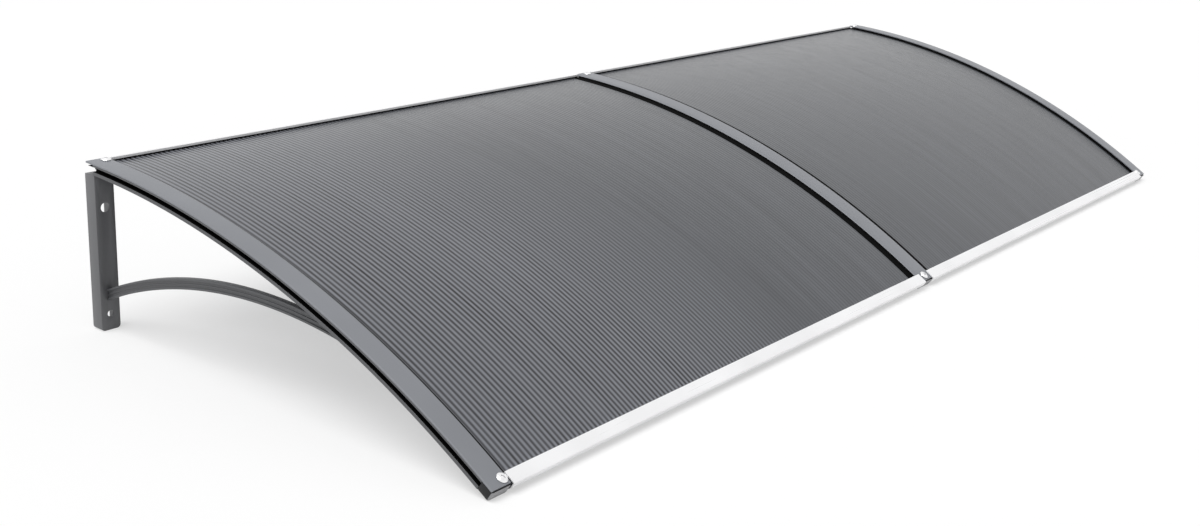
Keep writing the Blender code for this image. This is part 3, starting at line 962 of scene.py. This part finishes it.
class CANOPY_OT_rails(bpy.types.Operator):
    """Builds the front rails, the back rails and the seals along the wall."""

    bl_idname = "canopy.rails"
    bl_label = "Rails and seals"

    def execute(self, context):
        own = context.scene.canopy_sizes
        end = own.width / 2 - own.end_rib
        for side, turn in (("left", -1), ("right", 1)):
            self.front_rail(side, turn, end)
            ends = turn * (own.centre_rib / 2 + GAP), turn * (end - GAP)
            work = bmesh.new()
            add_loft(work, bar_rings(self.back_rail_section(), *ends, 8))
            piece = write_mesh(f"wall_rail_{side}", work)
            finish_piece(piece, [f"back_rail_{side}"], "back_rail")

            work = bmesh.new()
            add_loft(work, bar_rings(self.back_seal_section(), *ends, 8))
            piece = write_mesh(f"wall_seal_{side}", work, math.radians(50))
            finish_piece(piece, [f"back_gasket_{side}"], "seal")
        return {"FINISHED"}

    def back_rail_section(self):
        """A wall rail's back, its hook over the sheet and its foot under it."""
        bevel = 0.0004
        front = -BACK_RAIL_DEPTH
        wall = BACK_RAIL_WALL
        return [
            (0.0, 0.0),
            (front + bevel, 0.0),
            (front, -bevel),
            (front, -BACK_RAIL_HOOK),
            (front + wall, -BACK_RAIL_HOOK),
            (front + wall, -wall),
            (-wall, -wall),
            (-wall, wall - BACK_RAIL_DROP),
            (-BACK_RAIL_FOOT, wall - BACK_RAIL_DROP),
            (-BACK_RAIL_FOOT, -BACK_RAIL_DROP),
            (0.0, -BACK_RAIL_DROP),
        ]

    def back_seal_section(self):
        """The rubber strip between a wall rail's hook and the sheet."""
        top = -BACK_SEAL_TOP
        bottom = -BACK_SEAL_BOTTOM
        return [
            (-0.0041, top),
            (-0.0044, top - 0.0004),
            (-0.0044, bottom + 0.0004),
            (-0.0041, bottom),
            (-0.0019, bottom),
            (-0.0019, top),
        ]

    def front_rail(self, side, turn, end):
        """An L-shaped rail over a sheet's front edge, with a lip down to the sheet."""
        own = sizes()
        inner = own.arc_length + GAP
        outer = inner + RAIL_THICK
        back = own.arc_length - own.rail_cover
        top = -GAP - RAIL_THICK
        drop = own.rail_drop
        outline = [(back, -GAP), (back, top + EDGE), (back + EDGE, top)]
        for degrees in (0, 22.5, 45, 67.5, 90):
            angle = math.radians(degrees)
            s = outer - RAIL_BEND + RAIL_BEND * math.sin(angle)
            outline.append((s, top + RAIL_BEND - RAIL_BEND * math.cos(angle)))
        outline += [(outer, drop), (inner, drop), (inner, -GAP)]
        work = bmesh.new()
        section = [arc_point(s, below) for s, below in outline]
        ends = turn * RAIL_MIDDLE_END, turn * (end - RAIL_END_GAP)
        add_loft(work, bar_rings(section, *ends, 8))
        high = -GAP - 0.0005
        outline = (
            (back, high),
            (back, RAIL_LIP),
            (back + RAIL_THICK, RAIL_LIP),
            (back + RAIL_THICK, high),
        )
        lip = [arc_point(s, below) for s, below in outline]
        near = own.centre_rib / 2 + SHEET_CLEAR
        add_loft(work, bar_rings(lip, turn * near, turn * (end - SHEET_CLEAR)))
        piece = write_mesh(f"drip_rail_{side}", work, math.radians(30))
        finish_piece(piece, [f"front_rail_{side}"], "rail")


class CANOPY_OT_posts(bpy.types.Operator):
    """Builds the three wall posts."""

    bl_idname = "canopy.posts"
    bl_label = "Posts"

    def execute(self, context):
        own = context.scene.canopy_sizes
        for side, x, _, _ in rib_places():
            half = own.post_width / 2
            wall = own.post_wall
            corner = POST_CORNER
            inner_top = -own.post_top - wall
            outline = []
            for degrees in (90, 75, 60, 45, 30, 15, 0):
                angle = math.radians(degrees)
                px = -half + corner - corner * math.cos(angle)
                outline.append((px, corner - corner * math.sin(angle)))
            outline.append((-half, own.height - own.post_top))
            outline += [(-px, pz) for px, pz in reversed(outline)]
            work = bmesh.new()
            rings = []
            for y in (-post_front(), own.post_back):
                rings.append([place(x + px, y, pz - own.height) for px, pz in outline])
            add_loft(work, rings)
            piece = write_mesh(f"post_{side}", work)
            tools = bmesh.new()
            inner = (
                (-post_front() + wall, -own.height - 0.01),
                (own.post_back + 0.01, -own.height - 0.01),
                (own.post_back + 0.01, inner_top),
                (-post_front() + wall, inner_top),
            )
            add_loft(tools, bar_rings(inner, x - half + wall, x + half - wall))
            cut(piece, tools, f"post_hollow_{side}")
            tools = bmesh.new()
            for depth, radius in POST_HOLES:
                start = place(x, -post_front() - 0.01, -depth)
                add_round(tools, radius, start, Vector((0, 1, 0)), 0.02, 48)
            cut(piece, tools, f"post_holes_{side}")
            soften(piece, 0.0005)
            resmooth(piece)
            finish_piece(piece, [f"wall_post_{side}"], "post")
        return {"FINISHED"}


class CANOPY_OT_arms(bpy.types.Operator):
    """Builds the bent arms between the posts and the ribs."""

    bl_idname = "canopy.arms"
    bl_label = "Arms"

    def execute(self, context):
        own = context.scene.canopy_sizes
        section = self.section()
        radius = own.arm_radius
        start_y = -post_front() - GAP
        end_y, end_z = arc_point(own.arm_end, PLATE_BOTTOM + GAP + ARM_TIP)
        mid_y, mid_z = bend_centre(start_y, -own.arm_foot, end_y, end_z, radius)
        last = math.asin((mid_y - end_y) / radius)
        steps = 64
        for side, x, _, _ in rib_places():
            rings = []
            for k in range(steps + 1):
                ring = []
                for px, up in section:
                    reach = radius + up
                    begin = math.asin((mid_y - start_y) / reach)
                    angle = begin + (last - begin) * k / steps
                    y = mid_y - reach * math.sin(angle)
                    ring.append(place(x + px, y, mid_z + reach * math.cos(angle)))
                rings.append(ring)
            work = bmesh.new()
            add_loft(work, rings)
            piece = write_mesh(f"arm_{side}", work)
            cut(piece, self.roof_cutter(x), f"arm_top_{side}")
            resmooth(piece, math.radians(30))
            finish_piece(piece, [f"support_arm_{side}"], "arm")
        return {"FINISHED"}

    def section(self):
        """An arm's section, with a double groove in each side."""
        half = ARM_WIDTH / 2
        groove = ARM_GROOVE
        left = [
            (-half + 0.0005, 0.0),
            (-half + 0.0001, 0.0002),
            (-half, 0.0005),
            (-half, 0.0024),
            (-half + 0.0003, 0.0028),
            (-half + groove, 0.0030),
            (-half + groove, 0.0062),
            (-half + 0.0006, 0.0065),
            (-half + 0.0006, 0.0075),
            (-half + groove, 0.0078),
            (-half + groove, 0.0110),
            (-half + 0.0003, 0.0112),
            (-half, 0.0116),
            (-half, ARM_HEIGHT - 0.0005),
            (-half + 0.0001, ARM_HEIGHT - 0.0002),
            (-half + 0.0005, ARM_HEIGHT),
        ]
        return mirrored(left)

    def roof_cutter(self, x):
        """A solid above the ribs' undersides, around an arm's tip."""
        first = sizes().arm_end - 0.2133
        last = sizes().arm_end + 0.1267
        roof = []
        for px in (x - 0.006, x + 0.006):
            ring = []
            for k in range(33):
                s = first + (last - first) * k / 32
                ring.append(place(px, *arc_point(s, PLATE_BOTTOM + GAP)))
            ring.append(place(px, *arc_point(last, -0.02)))
            ring.append(place(px, *arc_point(first, -0.02)))
            roof.append(ring)
        tools = bmesh.new()
        add_loft(tools, roof)
        return tools


class CANOPY_OT_screws(bpy.types.Operator):
    """Builds the domed cross-recess screws at both ends of each cover."""

    bl_idname = "canopy.screws"
    bl_label = "Screws"

    def execute(self, context):
        own = context.scene.canopy_sizes
        mesh = self.screw_mesh()
        for side, _, _, x in rib_places():
            for end, s, turn in (
                ("front", own.arc_length - FRONT_SCREW, 0.5),
                ("back", BACK_SCREW, 0.2),
            ):
                piece = new_piece(f"screw_{end}_{side}", mesh.copy())
                axis = arc_axis(s).to_track_quat("Z", "Y").to_matrix().to_4x4()
                spin = Matrix.Rotation(turn, 4, "Z")
                seat = Matrix.Translation(place(x, *arc_point(s, -GAP)))
                piece.data.transform(seat @ axis @ spin)
                finish_piece(piece, [f"{end}_screw_{side}"], "screw")
        return {"FINISHED"}

    def screw_mesh(self):
        """A screw head at the origin, standing on its seat."""
        rise = sizes().screw_rise
        edge = SCREW_RADIUS
        dome = math.radians(84)
        rings_up = 10
        profile = []
        for k in range(1, rings_up + 1):
            angle = dome * k / rings_up
            out = edge * math.sin(angle) / math.sin(dome)
            flat = math.cos(angle) - math.cos(dome) * k / rings_up
            profile.append((out, max(rise * flat, 0.0006)))
        profile += [(edge - 0.0001, 0.0002), (edge - 0.0005, 0.0), (SCREW_SHANK, 0.0)]
        work = bmesh.new()
        steps = 48
        rings = []
        for out, up in profile:
            ring = []
            for i in range(steps):
                angle = 2 * math.pi * i / steps
                ring.append(Vector((out * math.cos(angle), out * math.sin(angle), up)))
            rings.append(ring)
        rings.append([Vector((p.x, p.y, -0.004)) for p in rings[-1]])
        add_loft(work, rings)
        head = write_mesh("screw_head", work)
        tools = bmesh.new()
        arm, half = 0.0029, 0.0006
        outline = [(half, half), (half, arm), (-half, arm), (-half, half)]
        outline += [(-arm, half), (-arm, -half), (-half, -half), (-half, -arm)]
        outline += [(half, -arm), (half, -half), (arm, -half), (arm, half)]
        rings = []
        for z, scale in ((rise - 0.0019, 0.75), (rise + 0.0020, 1.1)):
            rings.append([Vector((x * scale, y * scale, z)) for x, y in outline])
        add_loft(tools, rings)
        cut(head, tools, "screw_recess")
        resmooth(head, math.radians(40))
        mesh = head.data.copy()
        bpy.data.objects.remove(head)
        return mesh


class CANOPY_OT_stage(bpy.types.Operator):
    """Sets up the floor, the lights, the world and the camera."""

    bl_idname = "canopy.stage"
    bl_label = "Stage"

    def execute(self, context):
        self.floor()
        self.lights()
        self.world()
        self.camera()
        context.scene.view_settings.view_transform = "Standard"
        return {"FINISHED"}

    def floor(self):
        work = bmesh.new()
        far = FLOOR_REACH
        corners = ((-far, -far), (far, -far), (far, far), (-far, far))
        work.faces.new([work.verts.new((x, y, -FLOOR_DROP)) for x, y in corners])
        mesh = bpy.data.meshes.new("studio_floor")
        work.to_mesh(mesh)
        work.free()
        piece = new_piece("studio_floor", mesh)
        paint = Paint("studio_floor")
        paint.set(Roughness=0.9, Specular_IOR_Level=0.1)
        drift = paint.noise(paint.place(), 0.7)
        tone = paint.tint(drift, finishes().floor, 0.995, 1.005)
        paint.link(tone, paint.shader.inputs["Base Color"])
        self.lighten(paint)
        piece.data.materials.append(paint.material)

    def lighten(self, paint):
        """Softens the shadow that the camera and shiny pieces see on the floor."""
        path = paint.node("ShaderNodeLightPath").outputs
        seen = paint.math("MAXIMUM", path["Is Camera Ray"], path["Is Glossy Ray"])
        seen = paint.math("MAXIMUM", seen, path["Is Transmission Ray"])
        white = paint.node("ShaderNodeEmission")
        white.inputs["Color"].default_value = (1.0, 1.0, 1.0, 1.0)
        white.inputs["Strength"].default_value = 1.0
        mix = paint.node("ShaderNodeMixShader")
        paint.link(paint.math("MULTIPLY", seen, FLOOR_WHITE), mix.inputs["Fac"])
        paint.link(paint.shader.outputs["BSDF"], mix.inputs[1])
        paint.link(white.outputs["Emission"], mix.inputs[2])
        out = paint.tree.nodes["Material Output"]
        paint.link(mix.outputs["Shader"], out.inputs["Surface"])

    def lights(self):
        lamp = bpy.data.lights.new("key", "SUN")
        lamp.energy = KEY_STRENGTH
        lamp.angle = KEY_SPREAD
        obj = bpy.data.objects.new("key", lamp)
        bpy.context.scene.collection.objects.link(obj)
        obj.rotation_euler = Vector(KEY_TRAVEL).to_track_quat("-Z", "Y").to_euler()

    def world(self):
        """Even soft light, with a white surround in reflections and behind."""
        world = bpy.data.worlds.new("studio")
        bpy.context.scene.world = world
        world.use_nodes = True
        tree = world.node_tree
        tree.nodes.clear()
        out = tree.nodes.new("ShaderNodeOutputWorld")
        path = tree.nodes.new("ShaderNodeLightPath")
        soft = tree.nodes.new("ShaderNodeBackground")
        soft.inputs["Color"].default_value = (1.0, 1.0, 1.0, 1.0)
        soft.inputs["Strength"].default_value = SKY_STRENGTH
        white = tree.nodes.new("ShaderNodeBackground")
        white.inputs["Color"].default_value = (1.0, 1.0, 1.0, 1.0)
        white.inputs["Strength"].default_value = 1.0
        mix = tree.nodes.new("ShaderNodeMixShader")
        seen = tree.nodes.new("ShaderNodeMath")
        seen.operation = "MAXIMUM"
        through = tree.nodes.new("ShaderNodeMath")
        through.operation = "MAXIMUM"
        tree.links.new(path.outputs["Is Camera Ray"], seen.inputs[0])
        tree.links.new(path.outputs["Is Glossy Ray"], seen.inputs[1])
        tree.links.new(seen.outputs[0], through.inputs[0])
        tree.links.new(path.outputs["Is Transmission Ray"], through.inputs[1])
        tree.links.new(through.outputs[0], mix.inputs["Fac"])
        tree.links.new(soft.outputs[0], mix.inputs[1])
        tree.links.new(white.outputs[0], mix.inputs[2])
        tree.links.new(mix.outputs[0], out.inputs["Surface"])

    def camera(self):
        data = bpy.data.cameras.new("camera")
        data.sensor_fit = "HORIZONTAL"
        data.sensor_width = SENSOR_WIDTH
        data.lens = FOCAL_LENGTH_PIXELS / PICTURE_WIDTH_PIXELS * SENSOR_WIDTH
        data.clip_start = 0.01
        data.clip_end = 200.0
        obj = bpy.data.objects.new("camera", data)
        bpy.context.scene.collection.objects.link(obj)
        turn = Matrix((CAMERA_RIGHT, CAMERA_UP, CAMERA_BACK)).transposed().to_4x4()
        obj.matrix_world = Matrix.Translation(place(*CAMERA_PLACE)) @ turn
        bpy.context.scene.camera = obj


class CANOPY_PT_panel(bpy.types.Panel):
    """Lists the canopy's pieces and sizes."""

    bl_label = "Door canopy"
    bl_idname = "CANOPY_PT_panel"
    bl_space_type = "VIEW_3D"
    bl_region_type = "UI"
    bl_category = "Canopy"

    def draw(self, context):
        layout = self.layout
        for group in (context.scene.canopy_sizes, context.scene.canopy_finishes):
            box = layout.box()
            for name in group.bl_rna.properties.keys():
                if name not in ("rna_type", "name"):
                    box.prop(group, name)
        for operator in OPERATORS:
            layout.operator(operator.bl_idname)


OPERATORS = (
    CANOPY_OT_finishes,
    CANOPY_OT_covers,
    CANOPY_OT_ribs,
    CANOPY_OT_caps,
    CANOPY_OT_sheets,
    CANOPY_OT_rails,
    CANOPY_OT_posts,
    CANOPY_OT_arms,
    CANOPY_OT_screws,
    CANOPY_OT_stage,
)
CLASSES = (CanopySizes, CanopyFinishes, *OPERATORS, CANOPY_PT_panel)


def register():
    for item in CLASSES:
        bpy.utils.register_class(item)
    bpy.types.Scene.canopy_sizes = PointerProperty(type=CanopySizes)
    bpy.types.Scene.canopy_finishes = PointerProperty(type=CanopyFinishes)


def unregister():
    del bpy.types.Scene.canopy_finishes
    del bpy.types.Scene.canopy_sizes
    for item in reversed(CLASSES):
        bpy.utils.unregister_class(item)


def main():
    register()
    bpy.ops.canopy.finishes()
    bpy.ops.canopy.covers()
    bpy.ops.canopy.ribs()
    bpy.ops.canopy.caps()
    bpy.ops.canopy.sheets()
    bpy.ops.canopy.rails()
    bpy.ops.canopy.posts()
    bpy.ops.canopy.arms()
    bpy.ops.canopy.screws()
    bpy.ops.canopy.stage()
    bpy.context.view_layer.update()


if __name__ == "__main__":
    main()
